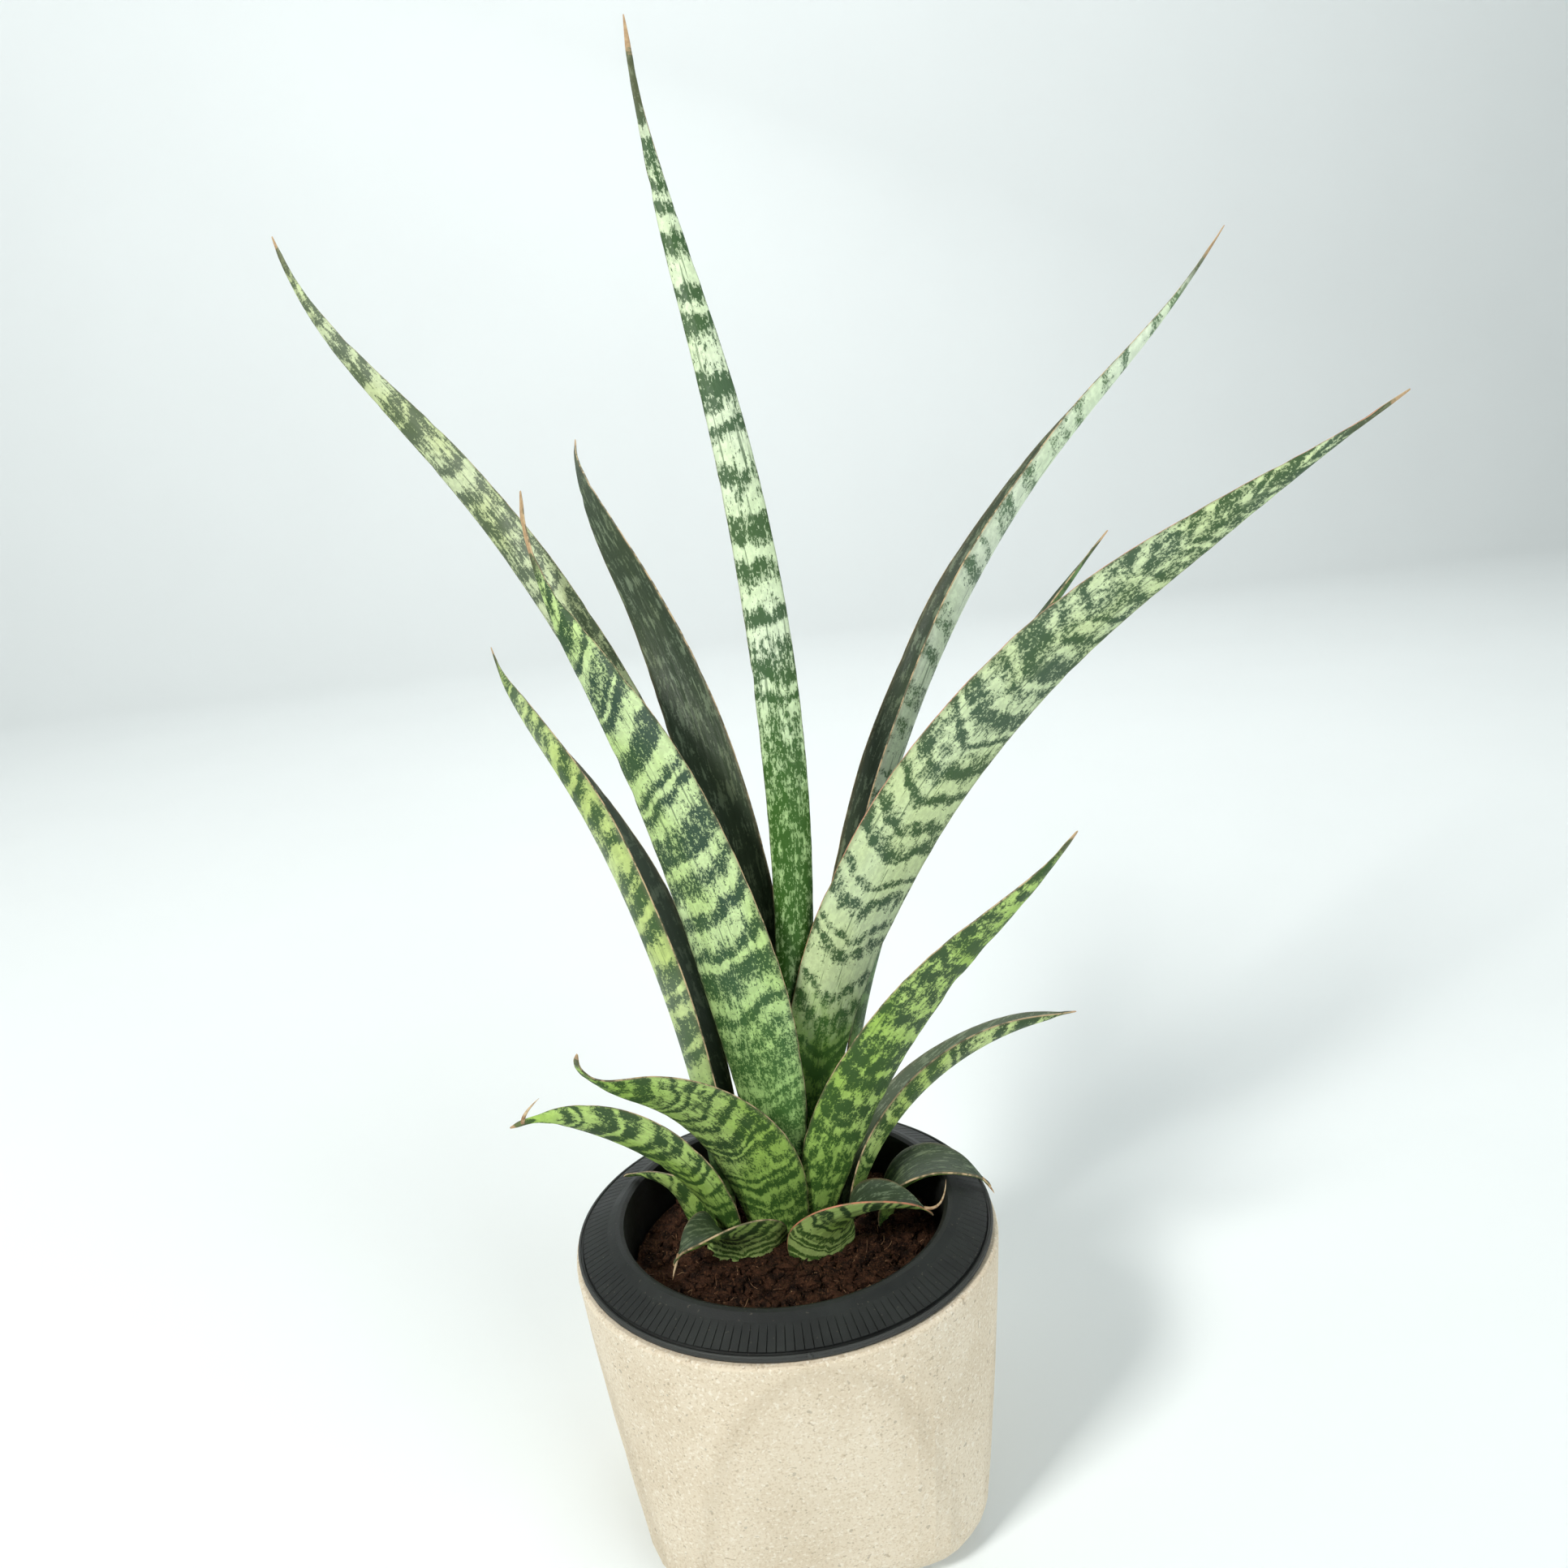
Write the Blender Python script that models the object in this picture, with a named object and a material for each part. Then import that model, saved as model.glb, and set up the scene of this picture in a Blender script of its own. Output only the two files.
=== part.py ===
"""Potted snake plant: a banded sansevieria in a black liner, standing in a cast planter.

Metres, +Z up, origin at the centre of the planter's flat underside.
"""
import math

import bmesh
import bpy
from mathutils import Vector

# planter: a round tapered body with four flat panels cut from it
POT_HEIGHT = 0.0967
POT_RIM_SHOW = 0.0021         # rim left bare outside the collar
POT_TAPER = 0.0039            # loss of radius from rim to base, measured at the corners
POT_BASE_HALF_WIDTH = 0.0525
PANEL_START = 0.0018          # how far the flats stand outside the round rim
PANEL_BLEND = 24.0            # how sharply the flats meet the round body
POT_BASE_ROUND = 0.012
POT_RIM_ROUND = 0.0012
POT_WALL = 0.0042
POT_FLOOR = 0.006
POT_STEPS = 72

# liner: a thin black nursery pot with a wide sloping collar
FIT_GAP = 0.0003
COLLAR_OUTER_RADIUS = 0.065
COLLAR_INNER_RADIUS = 0.0513
COLLAR_RISE = 0.006
LINER_WALL = 0.0013
LINER_BEAD = 0.0008
LINER_SIDE_GAP = 0.0083       # between the liner and the planter's well at the floor
LINER_FLOOR_GAP = 0.003
LINER_STEPS = 72

# soil fills the liner to a little below the collar
SOIL_DROP = 0.0153
SOIL_STEPS = 48

# leaves: crescent sections swept along a bending midrib
ROOT_DEPTH = 0.0153           # where a midrib starts, below the collar's crest
FOOT_STEP = 0.0004            # least rise from one section to the next above the soil
RIM_CLEARANCE = 0.0004        # between a leaf that leans over the collar and the collar
LEAF_THICKNESS = 0.0026
MARGIN_THICKNESS = 0.0008
SPIKE_WIDTH = 0.0018
LEAF_STATIONS = 22
LEAF_ACROSS = 6
TIP_TURN_START = 0.72

# one row per leaf, front ones first.  Millimetres and degrees:
#  base: where the midrib leaves the soil        size: length, greatest width, spike length
#  root, end: lean toward +X and +Y at each end  ease: below 1 bends near the soil, above 1 near the tip
#  face: heading of the outer face at each end   tilt: how far that face turns down at each end
#  channel: half angle of the trough at each end
#  shape: base width share, station of greatest width      turn: extra side lean of the last quarter
LEAVES = {
    "small_front_left": dict(base=(-12.9, -5.6), size=(35, 31, 4), root=(0, -6), end=(-150, -34), ease=1.1,
                             face=(-88, -200), tilt=(0, 95), channel=(35, 55), shape=(0.80, 0.30), turn=0),
    "small_front_right": dict(base=(10.4, -10.2), size=(47, 30, 4), root=(4, -12), end=(140, 0), ease=1.05,
                              face=(-84, 10), tilt=(0, 105), channel=(38, 60), shape=(0.75, 0.35), turn=0),
    "rim_right": dict(base=(35, 8), size=(44, 25, 4), root=(4, 4), end=(136, -44), ease=0.95,
                      face=(-20, -20), tilt=(50, 90), channel=(45, 20), shape=(0.75, 0.35), turn=0),
    "drooping_left": dict(base=(-18, 8), size=(93, 18, 5), root=(-8, -10), end=(-88, 0), ease=1.1,
                          face=(-138, -110), tilt=(0, 0), channel=(28, 14), shape=(0.65, 0.40), turn=-22),
    "small_left": dict(base=(-27, 17), size=(34, 12, 4), root=(-4, 3), end=(-102, 50), ease=1.0,
                       face=(-120, -130), tilt=(0, 60), channel=(40, 20), shape=(0.80, 0.35), turn=0),
    "low_left": dict(base=(-2, 4), size=(118, 26, 16), root=(0, -2), end=(-82, -35), ease=1.05,
                     face=(-102, -120), tilt=(0, 0), channel=(24, 12), shape=(0.70, 0.30), turn=100),
    "short_right": dict(base=(9, 7), size=(165, 20, 6), root=(10, -10), end=(56, -16), ease=1.0,
                        face=(-102, -54), tilt=(0, 0), channel=(26, 13), shape=(0.57, 0.34), turn=-25),
    "low_right": dict(base=(22, 10), size=(106, 30, 4), root=(16, 6), end=(90, 2), ease=0.95,
                      face=(8, -60), tilt=(0, 78), channel=(45, 66), shape=(0.55, 0.45), turn=0),
    "broad_front_left": dict(base=(0, 13), size=(266, 29, 28), root=(3, -11), end=(-36, 46), ease=0.95,
                             face=(-118, -124), tilt=(0, 0), channel=(28, 14), shape=(0.45, 0.40), turn=40),
    "broad_front_right": dict(base=(10, 12.5), size=(325, 27, 14), root=(-3, 4), end=(74, -12), ease=0.85,
                              face=(-86, -67), tilt=(0, 0), channel=(27, 13.5), shape=(0.35, 0.42), turn=-18),
    "left_mid": dict(base=(-19, 19), size=(226, 37, 12), root=(0, -3), end=(-37, 61), ease=1.0,
                     face=(-192, -198), tilt=(0, 0), channel=(80, 70), shape=(0.55, 0.46), turn=26),
    "tall_centre": dict(base=(0, 21), size=(388, 14, 14), root=(11, -5), end=(-18, 30), ease=1.1,
                        face=(-88, -92), tilt=(0, 0), channel=(35, 17.5), shape=(0.55, 0.45), turn=19),
    "dark_back": dict(base=(-1, 28), size=(310, 21, 10), root=(6, -9), end=(-30, 71), ease=1.1,
                      face=(86, 55), tilt=(0, 0), channel=(30, 15), shape=(0.45, 0.40), turn=34),
    "hidden_right": dict(base=(24.5, 26.5), size=(240, 20, 8), root=(2, 2), end=(53, 14), ease=0.95,
                         face=(-20, 8), tilt=(0, 0), channel=(30, 55), shape=(0.55, 0.43), turn=-8),
    "tall_right": dict(base=(22, 30.5), size=(366, 35, 24), root=(3, 3), end=(66, 26), ease=1.15,
                       face=(0, 4), tilt=(0, 0), channel=(50, 78), shape=(0.58, 0.40), turn=-26),
    "long_left": dict(base=(2, 32), size=(404, 15, 8), root=(1, -1), end=(-49, 47), ease=0.9,
                      face=(-109, -101), tilt=(0, 0), channel=(30, 15), shape=(0.60, 0.43), turn=34),
}


POT_TOP_RADIUS = COLLAR_OUTER_RADIUS + POT_RIM_SHOW
POT_BASE_RADIUS = POT_TOP_RADIUS - POT_TAPER
POT_WELL_RADIUS = POT_BASE_HALF_WIDTH - POT_WALL
LINER_BASE_RADIUS = POT_WELL_RADIUS - LINER_SIDE_GAP
COLLAR_EDGE = POT_HEIGHT + FIT_GAP
COLLAR_CREST = COLLAR_EDGE + LINER_WALL + COLLAR_RISE
SOIL_LEVEL = COLLAR_CREST - SOIL_DROP


def clean_scene():
    for item in list(bpy.data.objects):
        bpy.data.objects.remove(item, do_unlink=True)
    for block in (bpy.data.meshes, bpy.data.materials, bpy.data.collections):
        for item in list(block):
            block.remove(item)


def material(name, color, roughness, metallic=0.0):
    mat = bpy.data.materials.new(name)
    mat.use_nodes = True
    shader = mat.node_tree.nodes["Principled BSDF"]
    shader.inputs["Base Color"].default_value = (*color, 1.0)
    shader.inputs["Roughness"].default_value = roughness
    shader.inputs["Metallic"].default_value = metallic
    mat.diffuse_color = (*color, 1.0)
    return mat


def loft(name, rings, mat, sharp=35.0):
    """Skin equal rings of points into one closed body with a flat cap on each end."""
    bm = bmesh.new()
    loops = [[bm.verts.new(p) for p in ring] for ring in rings]
    count = len(rings[0])
    for lower, upper in zip(loops, loops[1:]):
        for i in range(count):
            j = (i + 1) % count
            bm.faces.new((lower[i], lower[j], upper[j], upper[i]))
    bm.faces.new(list(reversed(loops[0])))
    bm.faces.new(loops[-1])
    bmesh.ops.recalc_face_normals(bm, faces=bm.faces)
    mesh = bpy.data.meshes.new(name)
    bm.to_mesh(mesh)
    bm.free()
    for poly in mesh.polygons:
        poly.use_smooth = True
    mesh.set_sharp_from_angle(angle=math.radians(sharp))
    mesh.materials.append(mat)
    obj = bpy.data.objects.new(name, mesh)
    bpy.data.collections["potted_snake_plant"].objects.link(obj)
    return obj


def circle(radius, height, steps):
    return [Vector((radius * math.cos(a), radius * math.sin(a), height))
            for a in (2.0 * math.pi * i / steps for i in range(steps))]


def panelled(height, inset):
    """The planter's outline at a height: a circle and a square shrunk together."""
    share = 1.0 - min(max(height / POT_HEIGHT, 0.0), 1.0)
    radius = POT_TOP_RADIUS + (POT_BASE_RADIUS - POT_TOP_RADIUS) * share
    start = POT_TOP_RADIUS + PANEL_START
    flat = start + (POT_BASE_HALF_WIDTH - start) * share
    ring = []
    for i in range(POT_STEPS):
        a = 2.0 * math.pi * i / POT_STEPS
        c, s = abs(math.cos(a)), abs(math.sin(a))
        reach = (radius ** -PANEL_BLEND + (c / flat) ** PANEL_BLEND
                 + (s / flat) ** PANEL_BLEND) ** (-1.0 / PANEL_BLEND) - inset
        ring.append(Vector((reach * math.cos(a), reach * math.sin(a), height)))
    return ring


def build_pot(mat):
    rings = []
    for k in range(6):
        a = math.radians(90.0 * k / 5)
        inset = POT_BASE_ROUND * (1.0 - math.sin(a))
        rings.append(panelled(POT_BASE_ROUND * (1.0 - math.cos(a)), inset))
    top = POT_HEIGHT - POT_RIM_ROUND
    for k in range(1, 11):
        rings.append(panelled(POT_BASE_ROUND + (top - POT_BASE_ROUND) * k / 10, 0.0))
    mouth = POT_TOP_RADIUS - POT_WALL
    for k in (1, 2):
        a = math.radians(45.0 * k)
        rings.append(panelled(top + POT_RIM_ROUND * math.sin(a), POT_RIM_ROUND * (1.0 - math.cos(a))))
    rings.append(circle(mouth + POT_RIM_ROUND, POT_HEIGHT, POT_STEPS))
    for k in range(0, 6):
        share = k / 5
        rings.append(circle(mouth + (POT_WELL_RADIUS - mouth) * share,
                            top + (POT_FLOOR - top) * share, POT_STEPS))
    return loft("outer_pot", rings, mat)


def build_liner(mat):
    edge, crest = COLLAR_EDGE, COLLAR_CREST
    floor = POT_FLOOR + LINER_FLOOR_GAP
    lip_r, lip_z = COLLAR_OUTER_RADIUS, edge + LINER_WALL * 0.5
    throat = COLLAR_INNER_RADIUS
    profile = [
        (LINER_BASE_RADIUS - 0.002, floor),
        (LINER_BASE_RADIUS, floor + 0.002),
        (throat - 0.0005, edge - 0.004),
        (throat, edge + COLLAR_RISE - 0.0016),
        (throat + 0.0013, edge + COLLAR_RISE - 0.0002),
        (lip_r - 0.0012, edge),
        (lip_r - LINER_BEAD * 0.3, edge),
        (lip_r, lip_z),
        (lip_r - LINER_BEAD * 0.3, edge + LINER_WALL + 0.0002),
        (lip_r - 0.0014, edge + LINER_WALL + 0.0002),
        (lip_r - 0.0018, edge + LINER_WALL),
        (throat + 0.0016, crest),
        (throat + 0.0002, crest + 0.0002),
        (throat - LINER_WALL * 0.75, crest - 0.0004),
        (throat - LINER_WALL, crest - 0.0020),
        (throat - 0.0005 - LINER_WALL, edge - 0.004),
        (LINER_BASE_RADIUS - LINER_WALL, floor + 0.002 + LINER_WALL * 0.5),
        (LINER_BASE_RADIUS - LINER_WALL - 0.0015, floor + LINER_WALL),
    ]
    return loft("inner_pot", [circle(r, z, LINER_STEPS) for r, z in profile], mat, 50.0)


def build_soil(mat):
    floor = POT_FLOOR + LINER_FLOOR_GAP + LINER_WALL + FIT_GAP
    low_r = LINER_BASE_RADIUS - LINER_WALL - FIT_GAP
    wall_top = COLLAR_EDGE - 0.004
    wall_r = COLLAR_INNER_RADIUS - 0.0005 - LINER_WALL - FIT_GAP
    low_z = floor + 0.002
    top = SOIL_LEVEL
    share = (top - low_z) / (wall_top - low_z)
    high_r = low_r + (wall_r - low_r) * share - FIT_GAP
    profile = [
        (low_r - 0.002, floor),
        (low_r - FIT_GAP, low_z),
        (high_r, top - 0.0015),
        (high_r - 0.0012, top - 0.0002),
        (high_r - 0.006, top),
    ]
    return loft("soil", [circle(r, z, SOIL_STEPS) for r, z in profile], mat, 50.0)


def leaf_width(share, spec):
    """Share of the greatest width at a station, 0 at the soil and 1 at the neck of the spike."""
    base_share, widest = spec["shape"]
    if share < widest:
        return base_share + (1.0 - base_share) * math.sin(0.5 * math.pi * share / widest)
    return 1.0 - ((share - widest) / (1.0 - widest)) ** 1.9


def collar_top(radius):
    """Height of the collar's upper face at a radius, or None where there is no collar."""
    if not COLLAR_INNER_RADIUS - LINER_WALL - RIM_CLEARANCE < radius < COLLAR_OUTER_RADIUS + RIM_CLEARANCE:
        return None
    share = (radius - COLLAR_INNER_RADIUS) / (COLLAR_OUTER_RADIUS - COLLAR_INNER_RADIUS)
    return COLLAR_CREST + 0.0002 - COLLAR_RISE * min(max(share, 0.0), 1.0)


def clear_of_collar(rings):
    """Raise a leaf that would cut into the collar, a little more at each section up to where it crosses."""
    last = len(rings) - 1
    need = [0.0] * len(rings)
    for j in range(1, last + 1):
        for p, q in zip(rings[j - 1], rings[j]):
            for t in (0.25, 0.5, 0.75, 1.0):
                here = p.lerp(q, t)
                top = collar_top(math.hypot(here.x, here.y))
                if top is not None:
                    lift = (top + RIM_CLEARANCE - here.z) / (1.0 - (1.0 - t) / j + 0.25 * (j == 1))
                    need[j] = max(need[j], lift)
    for i, ring in enumerate(rings):
        lift = max(need[j] * min(1.0, i / j) for j in range(1, last + 1))
        for p in ring:
            p.z += lift
    return rings


def leaf_rings(spec):
    length, width, spike = (v * 0.001 for v in spec["size"])
    root, end = spec["root"], spec["end"]
    steps = LEAF_STATIONS - 1
    point = Vector((spec["base"][0] * 0.001, spec["base"][1] * 0.001,
                    COLLAR_CREST - ROOT_DEPTH + FIT_GAP))
    rings, last = [], None
    for i in range(LEAF_STATIONS):
        s = i / steps
        bend = s ** spec["ease"]
        late = max(0.0, (s - TIP_TURN_START) / (1.0 - TIP_TURN_START)) ** 1.5
        side = root[0] + (end[0] - root[0]) * bend + spec["turn"] * late
        back = root[1] + (end[1] - root[1]) * bend
        lean, heading = math.radians(math.hypot(side, back)), math.atan2(back, side)
        along = Vector((math.sin(lean) * math.cos(heading), math.sin(lean) * math.sin(heading),
                        math.cos(lean)))
        if last is not None:
            point = point + (along + last) * (0.5 * length / steps)
        last = along
        face = math.radians(spec["face"][0] + (spec["face"][1] - spec["face"][0]) * s)
        tilt = math.radians(spec["tilt"][0] + (spec["tilt"][1] - spec["tilt"][0]) * s)
        out = Vector((math.cos(face) * math.cos(tilt), math.sin(face) * math.cos(tilt), -math.sin(tilt)))
        out = (out - along * out.dot(along)).normalized()
        right = along.cross(out)
        blade = min(1.0, s * length / (length - spike))
        wide = max(width * leaf_width(blade, spec), SPIKE_WIDTH)
        trough = math.radians(spec["channel"][0] + (spec["channel"][1] - spec["channel"][0]) * s)
        radius = wide / (2.0 * trough)
        thick = min(LEAF_THICKNESS, 0.55 * wide) * (1.0 - 0.35 * s)
        edge = min(MARGIN_THICKNESS, 0.8 * thick)
        outer, inner = [], []
        for k in range(LEAF_ACROSS):
            u = -1.0 + 2.0 * k / (LEAF_ACROSS - 1)
            a = trough * u
            here = point + right * (radius * math.sin(a)) - out * (radius * (1.0 - math.cos(a)))
            normal = out * math.cos(a) + right * math.sin(a)
            half = 0.5 * (edge + (thick - edge) * (1.0 - abs(u) ** 1.6))
            outer.append(here + normal * half)
            inner.append(here - normal * half)
        ring = outer + list(reversed(inner))
        foot = SOIL_LEVEL + FIT_GAP
        for p in ring:
            p.z = foot if i == 0 else max(p.z, foot + FOOT_STEP * min(i, 3))
        rings.append(ring)
    return clear_of_collar(rings)


def main():
    clean_scene()
    home = bpy.data.collections.new("potted_snake_plant")
    bpy.context.scene.collection.children.link(home)
    cast = material("cream_cast", (0.74, 0.66, 0.53), 0.75)
    black = material("black_plastic", (0.022, 0.023, 0.025), 0.45)
    earth = material("coir_soil", (0.055, 0.028, 0.016), 0.95)
    green = material("leaf_green", (0.20, 0.32, 0.13), 0.45)
    build_pot(cast)
    build_liner(black)
    build_soil(earth)
    for name, spec in LEAVES.items():
        loft("leaf_" + name, leaf_rings(spec), green, 50.0)


main()
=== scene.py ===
import math
import random

import bmesh
import bpy
import numpy as np
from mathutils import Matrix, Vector, noise


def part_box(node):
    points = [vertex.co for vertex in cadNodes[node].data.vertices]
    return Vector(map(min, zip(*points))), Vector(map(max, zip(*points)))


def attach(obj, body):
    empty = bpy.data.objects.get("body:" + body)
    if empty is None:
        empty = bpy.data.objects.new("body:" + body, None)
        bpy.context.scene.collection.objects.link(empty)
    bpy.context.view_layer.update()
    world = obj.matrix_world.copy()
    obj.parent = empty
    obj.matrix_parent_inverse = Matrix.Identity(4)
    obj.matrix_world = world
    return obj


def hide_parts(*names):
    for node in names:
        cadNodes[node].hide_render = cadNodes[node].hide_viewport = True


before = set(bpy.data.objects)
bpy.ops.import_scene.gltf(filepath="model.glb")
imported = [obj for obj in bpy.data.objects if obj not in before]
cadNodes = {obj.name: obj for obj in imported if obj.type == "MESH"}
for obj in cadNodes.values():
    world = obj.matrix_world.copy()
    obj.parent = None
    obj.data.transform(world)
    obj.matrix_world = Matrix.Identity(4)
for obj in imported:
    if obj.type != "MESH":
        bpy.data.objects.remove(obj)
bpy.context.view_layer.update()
print("frame loaded with", len(cadNodes), "nodes")


def dropSelection():
    if bpy.context.object and bpy.context.object.mode != "OBJECT":
        bpy.ops.object.mode_set(mode="OBJECT")
    bpy.ops.object.select_all(action="DESELECT")


def pick(piece):
    dropSelection()
    piece.select_set(True)
    bpy.context.view_layer.objects.active = piece


def applyAll(piece):
    pick(piece)
    for modifier in list(piece.modifiers):
        bpy.ops.object.modifier_apply(modifier=modifier.name)


def settle(piece):
    # the place goes into the mesh, the object stays at the origin
    pick(piece)
    bpy.ops.object.transform_apply(location=True, rotation=True, scale=True)


def weld(piece):
    # doubled points are merged and every face is turned outward
    bm = bmesh.new()
    bm.from_mesh(piece.data)
    bmesh.ops.remove_doubles(bm, verts=bm.verts, dist=1e-6)
    bmesh.ops.recalc_face_normals(bm, faces=bm.faces)
    bm.to_mesh(piece.data)
    bm.free()


def srgb(r, g, b):
    out = []
    for value in (r, g, b):
        value = value / 255.0
        out.append(value / 12.92 if value <= 0.04045 else ((value + 0.055) / 1.055) ** 2.4)
    return (*out, 1.0)


class Graph:
    # short names for wiring a material
    def __init__(self, name):
        self.mat = bpy.data.materials.new(name)
        self.mat.use_nodes = True
        self.tree = self.mat.node_tree
        self.shader = self.tree.nodes["Principled BSDF"]

    def put(self, target, value):
        if isinstance(value, bpy.types.NodeSocket):
            self.tree.links.new(value, target)
        else:
            target.default_value = value

    def math(self, kind, a, b=0.0):
        node = self.tree.nodes.new("ShaderNodeMath")
        node.operation = kind
        self.put(node.inputs[0], a)
        self.put(node.inputs[1], b)
        return node.outputs[0]

    def ramp(self, value, low, high, outLow=0.0, outHigh=1.0):
        node = self.tree.nodes.new("ShaderNodeMapRange")
        node.interpolation_type = "SMOOTHSTEP"
        self.put(node.inputs["Value"], value)
        self.put(node.inputs["From Min"], low)
        self.put(node.inputs["From Max"], high)
        self.put(node.inputs["To Min"], outLow)
        self.put(node.inputs["To Max"], outHigh)
        return node.outputs[0]

    def mix(self, share, a, b):
        # a and b are the sixth and seventh sockets when the node mixes colours
        node = self.tree.nodes.new("ShaderNodeMix")
        node.data_type = "RGBA"
        self.put(node.inputs[0], share)
        self.put(node.inputs[6], a)
        self.put(node.inputs[7], b)
        return node.outputs[2]

    def scaled(self, vector, scale, shift=(0.0, 0.0, 0.0)):
        node = self.tree.nodes.new("ShaderNodeMapping")
        self.put(node.inputs["Vector"], vector)
        node.inputs["Scale"].default_value = scale
        node.inputs["Location"].default_value = shift
        return node.outputs[0]

    def noise(self, vector, detail=2.0, rough=0.5, size="3D", scale=1.0):
        node = self.tree.nodes.new("ShaderNodeTexNoise")
        node.noise_dimensions = size
        if size == "1D":
            self.put(node.inputs["W"], vector)
        else:
            self.put(node.inputs["Vector"], vector)
        node.inputs["Scale"].default_value = scale
        node.inputs["Detail"].default_value = detail
        node.inputs["Roughness"].default_value = rough
        return node.outputs[0]

    def curve(self, value, points):
        # a smooth graph through a few (place, height) points, all from 0 to 1
        node = self.tree.nodes.new("ShaderNodeFloatCurve")
        line = node.mapping.curves[0]
        line.points[0].location = points[0]
        line.points[1].location = points[-1]
        for place in points[1:-1]:
            line.points.new(*place)
        node.mapping.update()
        self.put(node.inputs["Value"], value)
        return node.outputs[0]

    def across(self, x, y):
        # distance from the upright axis
        square = self.math("ADD", self.math("MULTIPLY", x, x), self.math("MULTIPLY", y, y))
        return self.math("SQRT", square)

    def attribute(self, name):
        node = self.tree.nodes.new("ShaderNodeAttribute")
        node.attribute_name = name
        return node.outputs["Fac"]

    def coords(self, kind="Object"):
        if kind == "Object":
            return self.tree.nodes.new("ShaderNodeTexCoord").outputs["Object"]
        node = self.tree.nodes.new("ShaderNodeUVMap")
        node.uv_map = kind
        return node.outputs[0]

    def split(self, vector):
        node = self.tree.nodes.new("ShaderNodeSeparateXYZ")
        self.put(node.inputs[0], vector)
        return node.outputs

    def bump(self, height, strength, distance, after=None):
        node = self.tree.nodes.new("ShaderNodeBump")
        node.inputs["Strength"].default_value = strength
        node.inputs["Distance"].default_value = distance
        self.put(node.inputs["Height"], height)
        if after is not None:
            self.put(node.inputs["Normal"], after)
        return node.outputs[0]

    def finish(self, color=None, rough=None, normal=None):
        if color is not None:
            self.put(self.shader.inputs["Base Color"], color)
        if rough is not None:
            self.put(self.shader.inputs["Roughness"], rough)
        if normal is not None:
            self.put(self.shader.inputs["Normal"], normal)
        return self.mat


# camera, light and floor
studio = {
    "cameraAt": (-0.0274, -0.3916, 0.3625),
    "cameraTurn": (72.75, 5.17, -7.45),
    "lens": 33.0,
    "aimAt": (0.0, 0.03, 0.16),
    # name, place, size, power, colour
    "lamps": [
        ("keyLamp", (-0.85, -0.75, 1.15), 0.30, 16.0, (1.0, 0.975, 0.94)),
        ("fillLamp", (0.70, -1.00, 0.60), 1.0, 7.5, (0.98, 0.99, 1.0)),
        ("backLamp", (0.35, 0.9, 1.05), 0.8, 3.0, (1.0, 1.0, 1.0)),
    ],
    "wallLampAt": (0.0, 0.55, 1.5), "wallLampWay": (0.0, 1.0, -0.75),
    "wallLampSize": 1.6, "wallLampPower": 12.0,
    "worldColor": (236, 242, 242), "worldPower": 0.66,
    "floorSize": 6.0, "floorMiddle": -1.6, "wallTall": 4.0, "wallBend": 0.75,
    "floorColor": (240, 246, 246), "floorShade": (236, 242, 242),
}


def addLamp(name, place, size, power):
    bpy.ops.object.light_add(type="AREA", location=place)
    lamp = bpy.context.object
    lamp.name = name
    lamp.data.size = size
    lamp.data.energy = power
    return lamp


def buildStudio():
    bpy.ops.object.camera_add(location=studio["cameraAt"],
                              rotation=[math.radians(a) for a in studio["cameraTurn"]])
    camera = bpy.context.object
    camera.data.lens = studio["lens"]
    camera.data.sensor_width = 36.0
    camera.data.clip_start = 0.01
    bpy.context.scene.camera = camera

    for name, place, size, power, tint in studio["lamps"]:
        lamp = addLamp(name, place, size, power)
        lamp.data.color = tint
        aim = Vector(studio["aimAt"]) - Vector(place)
        lamp.rotation_euler = aim.to_track_quat("-Z", "Y").to_euler()
    # a wide lamp behind the plant brightens the wall
    lamp = addLamp("wallLamp", studio["wallLampAt"], studio["wallLampSize"], studio["wallLampPower"])
    lamp.rotation_euler = Vector(studio["wallLampWay"]).to_track_quat("-Z", "Y").to_euler()

    world = bpy.data.worlds.new("paleRoom")
    world.use_nodes = True
    back = world.node_tree.nodes["Background"]
    back.inputs["Color"].default_value = srgb(*studio["worldColor"])
    back.inputs["Strength"].default_value = studio["worldPower"]
    bpy.context.scene.world = world
    bpy.context.scene.view_settings.view_transform = "Standard"

    # the floor sweeps up into a wall well behind the plant
    dropSelection()
    bpy.ops.mesh.primitive_plane_add(size=studio["floorSize"], location=(0.0, studio["floorMiddle"], 0.0))
    floor = bpy.context.object
    floor.name = "floor"
    farEdge = studio["floorSize"] / 2 - 0.1
    bpy.ops.object.mode_set(mode="EDIT")
    bm = bmesh.from_edit_mesh(floor.data)
    for e in bm.edges:
        e.select_set(all(v.co.y > farEdge for v in e.verts))
    bmesh.update_edit_mesh(floor.data)
    bpy.ops.mesh.extrude_region_move(TRANSFORM_OT_translate={"value": (0.0, 0.0, studio["wallTall"])})
    bm = bmesh.from_edit_mesh(floor.data)
    for e in bm.edges:
        e.select_set(all(v.co.y > farEdge and v.co.z < 0.01 for v in e.verts))
    bmesh.update_edit_mesh(floor.data)
    bpy.ops.mesh.bevel(offset=studio["wallBend"], segments=24, affect="EDGES")
    bpy.ops.object.mode_set(mode="OBJECT")
    bpy.ops.object.shade_smooth()
    settle(floor)
    g = Graph("paleFloor")
    soft = g.noise(g.coords(), detail=2.0, scale=6.0)
    tint = g.mix(soft, srgb(*studio["floorShade"]), srgb(*studio["floorColor"]))
    floor.data.materials.append(g.finish(tint, 0.85))


buildStudio()
print("studio set")


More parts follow.
